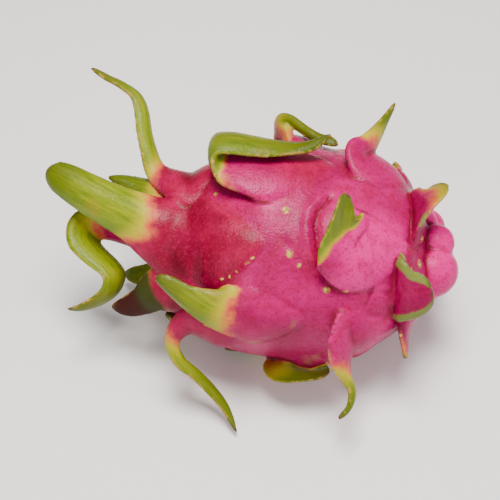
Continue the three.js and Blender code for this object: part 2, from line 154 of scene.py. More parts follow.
# Every scale: at = mm along the axis and degrees round it from the top towards the front, swell = height of
# its root, spread = its greatest width on the skin, hug = mm that it runs along the skin behind its root,
# thick = (root, tip), path = its sections from the root to the tip: (towards the flower end, out from the
# skin, sideways, width, cup, roll in degrees).
# Its colours: green = mm along the free blade at which pink has half turned to green, deep = how crimson the
# pink is, dried_and_shade = how far the blade has turned to olive and maroon, partly painted shade on the
# loop and the cup, fringe = mm of margin that stay green on the pink, lead = mm by which the margins turn
# before the middle, blend = mm that half the turn takes.
SCALES = {
    # The crown at the flower end, as seen from the front
    "nose": dict(
        at=(-47, 35), swell=2, spread=50, hug=38, thick=(9, 5), green=17, deep=1.0, lead=-9,
        path=[
            (0, -2.5, -3, 44, 9, 0), (12, -2.5, -7, 30, 5, 0), (23, -4, -13, 22, 3, 0),
            (33, -6, -18, 19, 3, 0), (44, -8, -24, 17, 3, 0), (52, -10, -29, 15, 2, 0),
            (61, -13, -34, 11, 1, 0),
        ],
    ),
    "horn": dict(
        at=(-46, -27), swell=3, spread=38, hug=17, thick=(9, 2.6), green=17, deep=0.5,
        path=[
            (0, 1, 3, 34, 5, 0), (9, 1, 0, 20, 3, 0), (15, 4, -3, 12, 2, 0), (18, 11, -6, 9.5, 1.5, 0),
            (20, 19, -10, 9, 1.5, 0), (21, 26, -14, 9, 1.5, 0), (24, 32, -18, 8, 1, 0),
            (31, 36, -22, 6.5, 1, 0), (37, 38, -25, 5, 0.5, 0), (45, 42, -28, 2, 0, 0),
        ],
    ),
    "behind_nose": dict(
        at=(-49, -10), swell=1, spread=26, hug=8, thick=(6, 2), green=4, deep=0.5,
        path=[
            (4, -1, -2, 20, 3, 0), (13, 0, -6, 16, 3, 0), (19, 0, -9, 12, 2, 0), (27, 1, -12, 7, 1, 0),
            (34, 1, -14, 2, 0, 0),
        ],
    ),
    "ribbon": dict(
        at=(-54, 40), swell=0, spread=16, hug=3, thick=(7, 2.4), green=20, deep=0.5,
        path=[
            (0, -3, -2, 15, 2, 0), (15, -9, -7, 13, 2, 0), (29, -15, -12, 14, 1, 0),
            (38, -16, -12, 16, 1, 0), (39, -15, -6, 16, 1, 0), (34, -13, 0, 14, 1, 0),
            (28, -12, 5, 13, 1, 0), (25, -12, 10, 14, 1, 0), (27, -14, 16, 14, 1, 0),
            (32, -15, 20, 12, 1, 0), (39, -15, 23, 8, 1, 0), (47, -16, 24, 2, 0, 0),
        ],
    ),
    "loop": dict(
        # Its dark maroon blade is partly dried colour and partly painted shade.
        at=(-50, 72), swell=1, spread=28, hug=10, thick=(7, 2.4), green=14, deep=1.0, dried_and_shade=0.9,
        path=[
            (0, -1, 1, 26, 3, 0), (8, -3, 3, 22, 2, 0), (14, -5, 7, 17, 2, 0), (18, -8, 12, 13, 1, 0),
            (25, -10, 16, 10, 1, 0), (32, -12, 17, 3, 0, 0),
        ],
    ),
    "tail": dict(
        at=(-40, 98), swell=3, spread=36, hug=15, thick=(9, 2.4), green=23, deep=0.6,
        path=[
            (0, -2, -2, 34, 4, 0), (7, -3, -2, 22, 2, 0), (12, 0, 0, 13, 1, 0), (14, 4, 4, 7, 0.5, 0),
            (11, 9, 9, 6.5, 0.5, 0), (5, 12, 14, 6, 0.5, 0), (-2, 16, 22, 6, 0.5, 0),
            (-8, 22, 28, 5, 0.5, 0), (-13, 32, 33, 2, 0, 0),
        ],
    ),
    # Round the middle of the body
    "tongue": dict(
        at=(-27, 76), swell=3, spread=40, hug=34, thick=(8, 3), green=5, deep=0.4,
        path=[
            (0, -2, -1, 29, 4, 0), (9, -2, -3, 20, 3, 0), (16, -3, -6, 15, 2, 0), (22, -5, -9, 11, 1, 0),
            (28, -7, -13, 8, 1, 0), (33, -9, -16, 3, 0, 0),
        ],
    ),
    "roll": dict(
        at=(-17, -12), swell=4, spread=48, hug=38, thick=(8, 3), green=17, deep=0.2,
        path=[
            (0, 1, 0, 42, 5, 0), (10, 0, 0, 32, 3, 0), (16, 1, -1, 25, 1, 0), (19, 5, -1, 20, 0, 0),
            (18, 9, -1, 17, -1, 0), (12, 10, -1, 17, -2, 0), (5, 9, -1, 16, -2, 0),
            (-3, 8, -0.5, 14, -2, 0), (-11, 6.5, -1, 10, -1, 0), (-20, 7, -2, 7, -1, 0),
            (-29, 10, -6, 2, 0, 0),
        ],
    ),
    "top_strap": dict(
        at=(-4, -50), swell=4, spread=34, hug=16, thick=(8, 2.4), green=9, deep=0.3,
        path=[
            (0, -1, 0, 28, 4, 0), (3, 3, 2, 15, 1, 0), (4, 8, 3, 8, 0, 0), (0, 8, 6, 5, -1, 0),
            (-5, 4, 9, 5, -1, 0), (-11, 0, 12, 5, -1, 0), (-16, -2, 14, 5, 0, 0), (-20, -4, 15, 2, 0, 0),
        ],
    ),
    "cup": dict(
        # The dark patches inside its cup are partly dried colour and partly painted shade.
        at=(0, 122), swell=3, spread=38, hug=18, thick=(8, 2.4), green=12, deep=0.5, dried_and_shade=0.4,
        path=[
            (0, -3, 2, 30, 4, 0), (5, -3, 2, 22, 3, 0), (7, 0, 0, 18, 3, -30), (3, 3, -2, 16, 4, -55),
            (-5, 4, -4, 13, 4, -65), (-13, 3, -5, 6, 2, -65),
        ],
    ),
    # Its pale pink is partly its own colour and partly a painted highlight on its dome.
    "centre": dict(
        at=(19, 38), swell=4, spread=42, hug=28, thick=(8, 2.2), green=15, lead=6, blend=3.5, deep=-0.6,
        path=[
            (0, 1, 0, 36, 5, 0), (3, 2.5, -3, 31, 3, 0), (5, 5, -6, 24, 1, 0), (5.5, 8, -10, 17, -1, 0),
            (5, 9.5, -14, 13, -2, 0), (4, 9, -18, 10, -1, 0), (3, 8, -22, 5, 0, 0),
        ],
    ),
    "drop": dict(
        at=(19, 92), swell=4, spread=40, hug=24, thick=(8, 2.4), green=18, deep=-0.3,
        path=[
            (0, -3, -2, 34, 7, 0), (1, 1, 0, 27, 7, 0), (2, 5, 3, 18, 5, 0), (1, 10, 8, 8.5, 2, 0),
            (-1, 14, 11, 6, 1, 0), (-1, 18, 14, 5.5, 1, 0), (1, 21, 17, 4.5, 0.5, 0),
            (5, 24, 19, 2, 0, 0),
        ],
    ),
    "thorn": dict(
        at=(28, -24), swell=4, spread=38, hug=20, thick=(9, 2.2), green=20, deep=-0.2,
        path=[
            (0, -3, 2, 30, 4, 0), (3, 0, 0, 22, 2, 0), (0, 3, -5, 13, 1, 0), (-5, 8, -12, 7.5, 0, 0),
            (-9, 12, -18, 4.5, 0, 0), (-13, 17, -23, 1.5, 0, 0),
        ],
    ),
    # The short scales near the stem
    "back_point": dict(
        at=(43, -48), swell=3, spread=26, hug=8, thick=(9, 2.2), green=7, deep=0.1,
        path=[
            (0, -3, -2, 20, 2, 0), (1, 1, -2, 13, 1, 0), (2, 5, -1, 2, 0, 0),
        ],
    ),
    "hook": dict(
        at=(42, 62), swell=4, spread=38, hug=12, thick=(8, 2.6), green=34, deep=0.2, fringe=3.6,
        path=[
            (0, -1, 0, 32, 4, 0), (2, 3, 0, 28, 1, 0), (-1, 7, 0, 22, -1, 0), (-6, 8, -1, 17, -2, 0),
            (-10, 8, -2, 10, -2, 0),
        ],
    ),
    "low_point": dict(
        at=(46, 96), swell=3, spread=28, hug=8, thick=(8, 2.2), green=16, deep=0.2,
        path=[
            (0, -1, -1, 24, 3, 0), (3, 5, 2, 17, 1, 0), (3, 12, 5, 9, 0, 0), (3, 16, 7, 1.5, 0, 0),
        ],
    ),
    "corner": dict(
        at=(46, 8), swell=3, spread=30, hug=8, thick=(7, 2.2), green=11, deep=0.1, fringe=1.8,
        path=[
            (0, 1, 0, 28, 3, 0), (-4, 5, -3, 22, 1, 0), (-8, 7, -6, 16, 0, 0), (-10, 6, -11, 4, 0, 0),
        ],
    ),
    # The far side and the underside
    "rear_crown_low": dict(
        at=(-44, 146), swell=2, spread=34, hug=16, thick=(8, 2.4), green=6, deep=0.6,
        path=[
            (0, 0, 0, 26, 4, 0), (6, -1, 1, 19, 3, 0), (11, -3, 2, 11, 2, 0), (16, -6, 3, 2, 1, 0),
        ],
    ),
    "rear_crown_high": dict(
        at=(-45, 204), swell=2, spread=38, hug=18, thick=(8, 2.6), green=14, deep=0.6,
        path=[
            (0, 1, 0, 34, 4, 0), (10, 0, 0, 25, 3, 0), (18, 1, 0, 16, 2, 0), (25, 3, 0, 11, 1, 0),
            (31, 6, 1, 8, 1, 0), (36, 10, 3, 2, 0, 0),
        ],
    ),
    "rear_crown_top": dict(
        at=(-45, 268), swell=2, spread=38, hug=18, thick=(8, 2.6), green=14, deep=0.6,
        path=[
            (0, 1, 0, 34, 4, 0), (13, -2, 0, 24, 3, 0), (24, -8, 1, 14, 2, 0), (33, -13, 3, 8, 1, 0),
            (38, -16, 4, 2, 0, 0),
        ],
    ),
    "rear_leaf": dict(
        at=(-20, 226), swell=4, spread=46, hug=27, thick=(9, 2.8), green=17, deep=0.3,
        path=[
            (0, 1, 0, 38, 5, 0), (12, 2, 0, 26, 3, 0), (22, 4, 0, 17, 2, 0), (31, 8, 2, 11, 1, 0),
            (37, 13, 6, 7, 1, 0), (39, 18, 13, 2, 0, 0),
        ],
    ),
    "rear_roll": dict(
        at=(-10, 278), swell=4, spread=44, hug=26, thick=(9, 2.6), green=15, deep=0.0,
        path=[
            (0, 1, 0, 36, 5, 0), (10, 1, 0, 24, 2, 0), (17, 3, 0, 15, 1, 0), (20, 7, -3, 11, 0, 0),
            (16, 10, -7, 9, -1, 0), (7, 11, -11, 6, -1, 0), (-1, 12, -13, 2, 0, 0),
        ],
    ),
    "under_leaf": dict(
        at=(-8, 158), swell=1, spread=40, hug=20, thick=(7, 2.4), green=8, deep=0.5,
        path=[
            (0, 0, 0, 32, 4, 0), (10, 0, -1, 20, 2, 0), (18, -1, -3, 12, 1, 0), (26, -1, -5, 2, 0, 0),
        ],
    ),
    "rear_spike": dict(
        at=(22, 246), swell=4, spread=42, hug=22, thick=(9, 2.4), green=12, deep=-0.2,
        path=[
            (0, 1, 0, 34, 4, 0), (4, 4, 0, 22, 2, 0), (5, 9, 1, 13, 1, 0), (3, 16, 2, 8, 0, 0),
            (-2, 23, 4, 5.5, 0, 0), (-8, 29, 7, 1.5, 0, 0),
        ],
    ),
    "rear_short": dict(
        at=(24, 290), swell=3, spread=36, hug=16, thick=(8, 2.4), green=6, deep=0.0,
        path=[
            (0, 0, 0, 28, 4, 0), (7, 1, 0, 18, 2, 0), (12, 3, 0, 9, 1, 0), (16, 6, -1, 2, 0, 0),
        ],
    ),
    "rear_tail": dict(
        at=(16, 206), swell=3, spread=42, hug=22, thick=(9, 2.4), green=14, deep=0.3,
        path=[
            (0, 0, 0, 32, 4, 0), (9, 0, 1, 22, 2, 0), (16, 1, 4, 14, 1, 0), (21, 3, 9, 9, 1, 0),
            (24, 5, 16, 6, 1, 0), (23, 7, 23, 2, 0, 0),
        ],
    ),
    "under_short": dict(
        at=(24, 146), swell=2, spread=34, hug=15, thick=(7, 2.4), green=6, deep=0.4,
        path=[
            (0, 0, 0, 26, 3, 0), (7, 0, 0, 17, 2, 0), (13, 1, 1, 9, 1, 0), (18, 2, 1, 2, 0, 0),
        ],
    ),
    "rear_stem_high": dict(
        at=(45, 262), swell=3, spread=30, hug=9, thick=(8, 2.2), green=8, deep=0.0,
        path=[
            (0, 0, 0, 24, 3, 0), (3, 5, 0, 15, 1, 0), (2, 11, 1, 8, 0, 0), (-1, 15, 2, 2, 0, 0),
        ],
    ),
    "rear_stem_low": dict(
        at=(45, 215), swell=3, spread=32, hug=9, thick=(8, 2.2), green=8, deep=0.2,
        path=[
            (0, 0, 0, 26, 3, 0), (4, 4, 0, 17, 1, 0), (4, 10, 0, 9, 0, 0), (1, 15, -1, 2, 0, 0),
        ],
    ),
    "under_stem": dict(
        at=(47, 155), swell=2, spread=30, hug=8, thick=(7, 2.2), green=30, deep=0.3,
        path=[
            (0, 0, 0, 24, 3, 0), (5, 2, 0, 15, 1, 0), (7, 6, 0, 2, 0, 0),
        ],
    ),
}

# Low ridges and furrows of the rind: (height, half width, [places on the skin, mm along and degrees round])
RIDGES = [
    (1.4, 2.0, [(7, 10), (2, 17), (1, 24), (1, 33), (3, 43)]),
    (-1.5, 1.6, [(10, 10), (6, 17), (4, 24), (5, 37), (9, 51)]),
    (-1.0, 1.2, [(44, 28), (37, 41), (28, 58), (25, 68)]),
    (1.4, 1.8, [(42, 44), (39, 56), (37, 70)]),
    (-0.8, 1.0, [(33, 2), (40, 6), (48, 7)]),
    (-0.6, 0.9, [(-9, 32), (4, 50), (13, 60), (34, 63)]),
]
RIDGED_SIDE = 2  # radians round the axis from the top within which the ridges lie


def around(along, turn, radius):
    along, turn, radius = np.broadcast_arrays(along, turn, radius)
    return np.stack([along, -radius * np.sin(turn), AXIS_HEIGHT + radius * np.cos(turn)], axis=-1)


def wrapped_angle(turn):
    return np.arctan2(np.sin(turn), np.cos(turn))


def barrel_radius(along):
    share = np.minimum(1, np.abs(along) / np.where(along < 0, FLOWER_REACH, STEM_REACH))
    return BODY_RADIUS * np.sqrt(1 - share**BARREL)


def swelling(along, turn):
    """How far the skin stands out from the barrel: at its resting spot and under each scale's root."""
    sag_height, sag_radius = SAG
    from_lowest = np.arctan2(-np.sin(turn), -np.cos(turn)) * BODY_RADIUS
    height = sag_height * np.exp(-(along**2 + from_lowest**2) / sag_radius**2)
    for scale in SCALES.values():
        root, degrees = scale["at"]
        ahead = root - along
        aside = wrapped_angle(turn - math.radians(degrees)) * barrel_radius(np.float64(root))
        run = ahead / np.where(ahead < 0, SWELL_RISE, SWELL_FALL)
        height = height + scale["swell"] * np.exp(-(run**2) - (aside / (scale["spread"] * SWELL_SPAN)) ** 2)
    return height


def skin_radius(along, turn):
    return barrel_radius(along) + swelling(along, turn)


def skin_point(along, degrees, lift=0):
    """The point of the skin at a place given in mm along the axis and degrees round it."""
    turn = math.radians(degrees)
    return around(along, turn, skin_radius(np.float64(along), turn) + lift)


def distance_to_line(place, line):
    """How far each place on the unrolled skin lies from a line of (along, degrees) points."""
    spots = [np.array([along, math.radians(degrees) * BODY_RADIUS]) for along, degrees in line]
    nearest = np.full(place.shape[:-1], np.inf)
    for first, last in zip(spots, spots[1:]):
        run = last - first
        share = np.clip((place - first) @ run / (run @ run), 0, 1)
        away = np.linalg.norm(place - first - share[..., None] * run, axis=-1)
        nearest = np.minimum(nearest, away)
    return nearest


def creases(along, turn):
    """How far the ridges and furrows move the skin at each place."""
    place = np.stack([along, turn * BODY_RADIUS], axis=-1)
    on_that_side = np.abs(wrapped_angle(turn)) < RIDGED_SIDE
    height = np.zeros(turn.shape)
    for rise, half_width, line in RIDGES:
        height += rise * np.exp(-((distance_to_line(place, line) / half_width) ** 2)) * on_that_side
    return height


def shape_sphere(name, segments, rings, shape):
    """A sphere whose vertices go where shape(polar, turn) says, in millimetres."""
    deselect_all()
    bpy.ops.mesh.primitive_uv_sphere_add(segments=segments, ring_count=rings, radius=1)
    sphere = bpy.context.object
    sphere.name = name
    unit = np.empty(len(sphere.data.vertices) * 3)
    sphere.data.vertices.foreach_get("co", unit)
    unit = unit.reshape(-1, 3)
    polar = np.arccos(np.clip(unit[:, 2], -1, 1))
    turn = np.arctan2(unit[:, 1], unit[:, 0])
    sphere.data.vertices.foreach_set("co", (shape(polar, turn) * MM).ravel())
    sphere.data.update()
    return sphere


def body_shape(polar, turn):
    stem_side = np.cos(polar) > 0
    reach = np.where(stem_side, STEM_REACH, -FLOWER_REACH)
    along = np.abs(np.cos(polar)) ** (2 / BARREL) * reach
    bare = BODY_RADIUS * np.sin(polar)
    depth = np.where(stem_side, STEM_DIMPLE[0], FLOWER_HOLLOW[0])
    wide = np.where(stem_side, STEM_DIMPLE[1], FLOWER_HOLLOW[1])
    sunk = depth * np.exp(-((bare / wide) ** 2)) * np.sign(reach)
    relief = swelling(along, turn) + creases(along, turn)
    return around(along - sunk, turn, bare + relief * np.sin(polar))


pieces = [shape_sphere("body", BODY_SEGMENTS, BODY_RINGS, body_shape)]


# The scales: leathery blades that grow out of the rind. Each has a root that hugs the skin behind it, a
# fleshy middle and a thin margin. They bend, roll and curl as they dry, each in its own way.
SCALE_SEGMENTS = 40
RING_EVERY = 1.2
FEWEST_RINGS = 12
HIND_SECTIONS = [  # shares of the hug and of the spread, and height over the skin
    (1, 0.06, SUNK),
    (0.7, 0.36, 0.6 * SKIN_LIFT),
    (0.33, 0.75, SKIN_LIFT),
]
ROOT_HOLD = 0.6  # how far the root's own section still lies along the skin
HIND_CLOSING = 0.06  # shares of a scale's length over which its two ends close
TIP_ROUNDING = 0.07
MARGIN_FULLNESS = 0.8
TIGHTEST_WRAP = 10
WAVE_HEIGHT = 0.35
WAVE_RUN = 4.5
FACE_EDGE = 3  # how sharply the outer face gives way to the inner one at the margin

skin_places = {}


def through_rows(rows, t):
    """A smooth curve through rows of numbers, at each t from 0 to 1."""
    ends = np.vstack([2 * rows[0] - rows[1], rows, 2 * rows[-1] - rows[-2]])
    spot = np.clip(t, 0, 1) * (len(rows) - 1)
    whole = np.minimum(spot.astype(int), len(rows) - 2)
    part = (spot - whole)[:, None]
    a, b, c, d = (ends[whole + i] for i in range(4))
    rise = (c - a) / 2
    fall = (d - b) / 2
    cubic = 2 * b - 2 * c + rise + fall
    square = -3 * b + 3 * c - 2 * rise - fall
    return (cubic * part + square) * part**2 + rise * part + b


def section_rows(scale):
    """A scale's sections from its hind end to its tip: x, y, z, width, cup, roll, hold, lift."""
    along, degrees = scale["at"]
    turn = math.radians(degrees)
    out = np.array([0, -math.sin(turn), math.cos(turn)])
    side = np.array([0, -math.cos(turn), -math.sin(turn)])
    rows = []
    for back, broad, lift in HIND_SECTIONS:
        point = skin_point(along + back * scale["hug"], degrees)
        rows.append([*point, broad * scale["spread"], 0, 0, 1, lift])
    root_radius = skin_radius(np.float64(along), turn)
    for i, (ahead, rise, aside, width, cup, roll) in enumerate(scale["path"]):
        point = around(along - ahead, turn, root_radius) + out * rise + side * aside
        hold = ROOT_HOLD if i == 0 else 0
        rows.append([*point, width, cup, math.radians(roll), hold, SKIN_LIFT])
    return np.array(rows, dtype=float)


def section_frames(spots, turn):
    """The side and the outward normal at each section, carried along without twisting, then rolled."""
    centres = spots[:, :3]
    ahead = np.gradient(centres, axis=0)
    ahead /= np.linalg.norm(ahead, axis=1)[:, None]
    side = np.array([0, -math.cos(turn), -math.sin(turn)])
    sides = []
    normals = []
    for i in range(len(spots)):
        side = side - ahead[i] * side.dot(ahead[i])
        side /= np.linalg.norm(side)
        normal = np.cross(ahead[i], side)
        roll = spots[i, 5]
        sides.append(side * math.cos(roll) + normal * math.sin(roll))
        normals.append(normal * math.cos(roll) - side * math.sin(roll))
    return np.array(sides), np.array(normals)


def rounded_ends(share):
    """The share of its full width and thickness that a scale has, falling to 0 at both ends."""
    closing = np.clip((share - 1 + TIP_ROUNDING) / TIP_ROUNDING, 0, 1)
    opening = np.clip(1 - share / HIND_CLOSING, 0, 1)
    return np.sqrt(1 - closing**2) * np.sqrt(1 - opening**2)


def lying_points(row, aside, height, root):
    """Where the sections would lie if they were bent round the body."""
    centre_turn = np.arctan2(-row[:, 1], row[:, 2] - AXIS_HEIGHT)
    centre_radius = np.hypot(row[:, 1], row[:, 2] - AXIS_HEIGHT)
    wrapped = centre_turn + aside / np.maximum(centre_radius, TIGHTEST_WRAP)
    under = skin_radius(np.maximum(row[:, 0], root), wrapped)
    return around(row[:, 0], wrapped, under + row[:, 7] + height)


def add_scale(name, scale):
    rows = section_rows(scale)
    length = np.linalg.norm(np.diff(rows[:, :3], axis=0), axis=1).sum()
    rings = max(FEWEST_RINGS, round(length / RING_EVERY))
    spots = through_rows(rows, np.arange(rings + 1) / rings)
    sides, normals = section_frames(spots, math.radians(scale["at"][1]))
    root_share = len(HIND_SECTIONS) / (len(rows) - 1)
    root_thick, tip_thick = scale["thick"]
    wave_phase = random.Random(name).uniform(0, 6)

    def shape(polar, turn):
        share = 1 - polar / np.pi
        ring = np.clip(np.rint(share * rings).astype(int), 0, rings)
        row, side, normal = spots[ring], sides[ring], normals[ring]
        across = np.cos(turn)
        outward = np.sin(turn)
        along = (share - root_share) * length
        free = np.clip((share - root_share) / (1 - root_share), 0, 1)
        thick = tip_thick + (root_thick - tip_thick) * (1 - free) ** 2
        end = rounded_ends(share)
        aside = across * row[:, 3] / 2 * end
        deep = np.sign(outward) * np.abs(outward) ** MARGIN_FULLNESS * thick / 2 * end
        wave = WAVE_HEIGHT * np.sin(along / WAVE_RUN + wave_phase + across) * free * np.abs(across) ** 3
        lift = deep - row[:, 4] * across**2 + wave
        loose = row[:, :3] + side * aside[:, None] + normal * lift[:, None]
        lying = lying_points(row, aside, deep - thick / 2, scale["at"][0])
        hold = np.clip(row[:, 6], 0, 1)[:, None]
        skin_places[name] = dict(
            along=along,
            across=aside,
            margin=(1 - np.abs(across)) * row[:, 3] / 2,
            outer=np.sign(outward) * np.minimum(1, np.abs(outward) * FACE_EDGE),
            to_tip=(1 - share) * length,
        )
        return loose * (1 - hold) + lying * hold

    return shape_sphere("scale_" + name, SCALE_SEGMENTS, rings, shape)


for name, scale in SCALES.items():
    pieces.append(add_scale(name, scale))


# The two ends: round pink swellings stand about the corky stub of the stem, and the other end holds the dry
# scar of the flower. Each is given by degrees round the axis, mm off it, mm along it, and its radius.
LOBE_SEGMENTS = 32
LOBE_RINGS = 20
STEM_LOBES = [
    (20, 14, 57, 8),
    (68, 15, 55, 11.5),
    (122, 13, 54, 8),
    (170, 14, 55, 9.5),
    (228, 14, 56, 10.5),
    (283, 13, 55.5, 8.5),
    (330, 13, 51, 8.5),
]
CORKY_ENDS = {
    "stem_stub": (0, 0, 56, 5),
    "flower_scar": (0, 0, -50, 6),
}


def add_lobe(name, degrees, off, along, size):
    middle = around(along, math.radians(degrees), off)

    def shape(polar, turn):
        ball = [np.sin(polar) * np.cos(turn), np.sin(polar) * np.sin(turn), np.cos(polar)]
        return middle + size * np.stack(ball, axis=-1)

    return shape_sphere(name, LOBE_SEGMENTS, LOBE_RINGS, shape)


for i, lobe in enumerate(STEM_LOBES):
    pieces.append(add_lobe(f"stem_lobe_{i}", *lobe))
for name, lobe in CORKY_ENDS.items():
    pieces.append(add_lobe(name, *lobe))


# The rind as one skin: the barrel, the scales and the lobes are grown together, so their joins are soft and
# fleshy. The merged surface is relaxed until the roots flow into the body, and the margins stay thin.
VOXEL = 0.7
RELAX_PASSES = 4
MOST_TRIANGLES = 190000


def apply_modifier(piece, kind, **settings):
    modifier = piece.modifiers.new(kind.title(), kind)
    for key, value in settings.items():
        setattr(modifier, key, value)
    bpy.context.view_layer.objects.active = piece
    bpy.ops.object.modifier_apply(modifier=modifier.name)


def grow_together():
    deselect_all()
    for piece in pieces:
        piece.select_set(True)
    bpy.context.view_layer.objects.active = pieces[0]
    bpy.ops.object.join()
    fruit = bpy.context.object
    fruit.name = "dragon_fruit_rind"
    fruit.data.name = "dragon_fruit_rind"
    voxel = VOXEL
    apply_modifier(fruit, "REMESH", mode="VOXEL", voxel_size=voxel * MM)
    apply_modifier(fruit, "SMOOTH", factor=0.5, iterations=RELAX_PASSES)
    triangles = sum(len(face.vertices) - 2 for face in fruit.data.polygons)
    if triangles > MOST_TRIANGLES:
        apply_modifier(fruit, "DECIMATE", ratio=MOST_TRIANGLES / triangles)
    return fruit


def points_of(mesh):
    """The vertices of a mesh in millimetres."""
    coords = np.empty(len(mesh.vertices) * 3)
    mesh.vertices.foreach_get("co", coords)
    return coords.reshape(-1, 3) / MM


def move_points(mesh, coords):
    mesh.vertices.foreach_set("co", (coords * MM).ravel())
    mesh.update()


def normals_of(mesh):
    normals = np.empty(len(mesh.vertices) * 3)
    mesh.vertices.foreach_get("normal", normals)
    return normals.reshape(-1, 3)


# What the colours go by. Each point of the rind takes its facts from the nearest point of the body, a scale
# or a lobe: where it is on its scale, how crimson its pink is, and how far it has turned green or dried,
# which on the loop and the cup is partly painted shade.
MARGIN_LEAD = 4
TURN_RUN = 9  # mm that half the turn to green takes, longer on the blades that turn late
LATE_TURN = 25
LATE_TURN_RUN = 12
LEAST_HALF_WIDTH = 0.01
DRY_AND_SHADE_FROM = 5
DRY_AND_SHADE_RUN = 6
HUG_FADE = 0.6  # share of the crimson that is gone at the hind end of a scale
FRINGE_BLUR = 1.5
FRINGE_RUN = 4
RIM_WIDTH = 0.02
RIM_HUG = 0.6  # share of the hug along which a scale still has a rim
OFF_SCALES = -40
FAR_FROM_TIP = 60
FAR_FROM_RIM = 12
LOBE_FLUSH = -0.4
BODY_FLUSH = 0.4
FLUSH_REACH = 20
FLUSH_SPAN = 40  # mm that one radian round the body counts for
BARE_WEIGHT = 0.02

# Where the pink is locally deeper or paler: (mm along the axis, degrees round it, radius, depth added).
# Some are the pink's own colour, some are painted shade in a furrow and an axil, some are painted highlights.
BLUSHES_AND_PAINTED_LIGHT = [
    # painted shade: deeper crimson in the furrow left of the centre scale
    (6, 41, 9, 1.0),
    (0, -12, 15, 0.7),
    # painted highlight: a pale spot where the light from above is reflected
    (-15, 12, 7, -0.6),
    (-40, 14, 10, 0.35),
    (-30, 20, 9, 0.45),
    # partly the horn root's own crimson, partly painted shade in the axil behind it
    (-46, -14, 8, 1.0),
    (-50, 44, 12, 0.7),
    # partly own crimson, partly painted shade under the root of the horn
    (-48, -30, 9, 1.2),
    (-38, 52, 12, 0.5),
    # partly the dome's own paler pink, partly a painted highlight on the dome of the centre scale
    (33, 30, 14, -0.5),
    (38, 66, 11, -0.3),
    (56, 40, 12, -0.4),
    (-10, 62, 14, -0.25),
    (13, 88, 10, 0.4),
    (-38, -30, 12, 0.5),
]


def fringe_of(place, width):
    """1 on the green margin of a free blade, 0 elsewhere."""
    if not width:
        return 0
    near_margin = np.clip((width - place["margin"]) / FRINGE_BLUR + 0.5, 0, 1)
    return near_margin * np.clip(place["along"] / FRINGE_RUN, 0, 1)


def scale_facts(name):
    scale = SCALES[name]
    place = skin_places[name]
    along = place["along"]
    across = np.abs(place["across"])
    to_margin = across / (across + place["margin"] + LEAST_HALF_WIDTH)
    early = scale.get("lead", MARGIN_LEAD) * to_margin**2
    run = scale.get("blend", TURN_RUN if scale["green"] < LATE_TURN else LATE_TURN_RUN)
    turned = (along + early - scale["green"]) / run
    faded = np.clip(-along / scale["hug"], 0, 1)
    return dict(
        along=np.maximum(along, OFF_SCALES),
        across=place["across"],
        inner=np.where(along > 0, np.clip(0.5 - place["outer"] * 0.5, 0, 1), 0),
        to_tip=np.minimum(place["to_tip"], FAR_FROM_TIP),
        flush_and_painted_light=scale["deep"] * (1 - HUG_FADE * faded**2),
        green=np.clip(turned * 0.5 + 0.5, 0, 1),
        dried_and_shade=scale.get("dried_and_shade", 0) * np.clip((along - DRY_AND_SHADE_FROM) / DRY_AND_SHADE_RUN, 0, 1),
        fringe=fringe_of(place, scale.get("fringe", 0)),
        corky=0,
    )


def plain_facts(name, coords):
    """The facts of the body, a lobe or a corky end."""
    return dict(
        along=OFF_SCALES,
        across=0,
        inner=0,
        to_tip=FAR_FROM_TIP,
        flush_and_painted_light=body_flush(coords) if name == "body" else LOBE_FLUSH,
        green=0,
        dried_and_shade=0,
        fringe=0,
        corky=float(name in CORKY_ENDS),
    )


def gather_facts():
    """Every modelled point, what is known of it, and the points that lie on the rim of a scale."""
    places = []
    facts = []
    rims = []
    for piece in pieces:
        coords = points_of(piece.data)
        name = piece.name.removeprefix("scale_")
        if name in SCALES:
            known = scale_facts(name)
            place = skin_places[name]
            rim_start = -RIM_HUG * SCALES[name]["hug"]
            rims.append(coords[(place["margin"] < RIM_WIDTH) & (place["along"] > rim_start)])
        else:
            known = plain_facts(name, coords)
        places.append(coords)
        facts.append({key: np.broadcast_to(value, len(coords)) for key, value in known.items()})
    joined = {key: np.concatenate([known[key] for known in facts]) for key in facts[0]}
    return np.vstack(places), joined, np.vstack(rims)


def blush_and_painted_light(coords):
    """The depth that the blushes add at each place: the pink's own colour, painted shade and painted
    highlights.
    """
    added = np.zeros(len(coords))
    for along, degrees, radius, depth in BLUSHES_AND_PAINTED_LIGHT:
        away = np.linalg.norm(coords - skin_point(along, degrees), axis=1)
        added += depth * np.exp(-((away / radius) ** 2))
    return added


def body_flush(coords):
    """How deep the crimson is on the bare body, taken from the scales around each place."""
    turn = np.arctan2(-coords[:, 1], coords[:, 2] - AXIS_HEIGHT)
    total = np.zeros(len(coords))
    weight = np.full(len(coords), BARE_WEIGHT)
    for scale in SCALES.values():
        root, degrees = scale["at"]
        aside = wrapped_angle(turn - math.radians(degrees)) * FLUSH_SPAN
        near = np.exp(-((coords[:, 0] - root) ** 2 + aside**2) / FLUSH_REACH**2)
        total += near * scale["deep"]
        weight += near
    return total / weight * BODY_FLUSH


def tree_of(points):
    tree = KDTree(len(points))
    for i, point in enumerate(points):
        tree.insert(point, i)
    tree.balance()
    return tree


def press_flat(mesh):
    """The lowest skin rests on the table top."""
    coords = points_of(mesh)
    coords[:, 2] = np.maximum(coords[:, 2], 0)
    move_points(mesh, coords)
    return coords


def neighbour_mean(mesh, values, passes):
    """Each point's value, averaged that many times with those of the points beside it."""
    edges = np.empty(len(mesh.edges) * 2, dtype=np.int32)
    mesh.edges.foreach_get("vertices", edges)
    a, b = edges.reshape(-1, 2).T
    count = len(values)
    degree = np.bincount(a, minlength=count) + np.bincount(b, minlength=count)
    for _ in range(passes):
        total = np.bincount(a, values[b], count) + np.bincount(b, values[a], count)
        values = 0.5 * values + 0.5 * total / np.maximum(degree, 1)
    return values


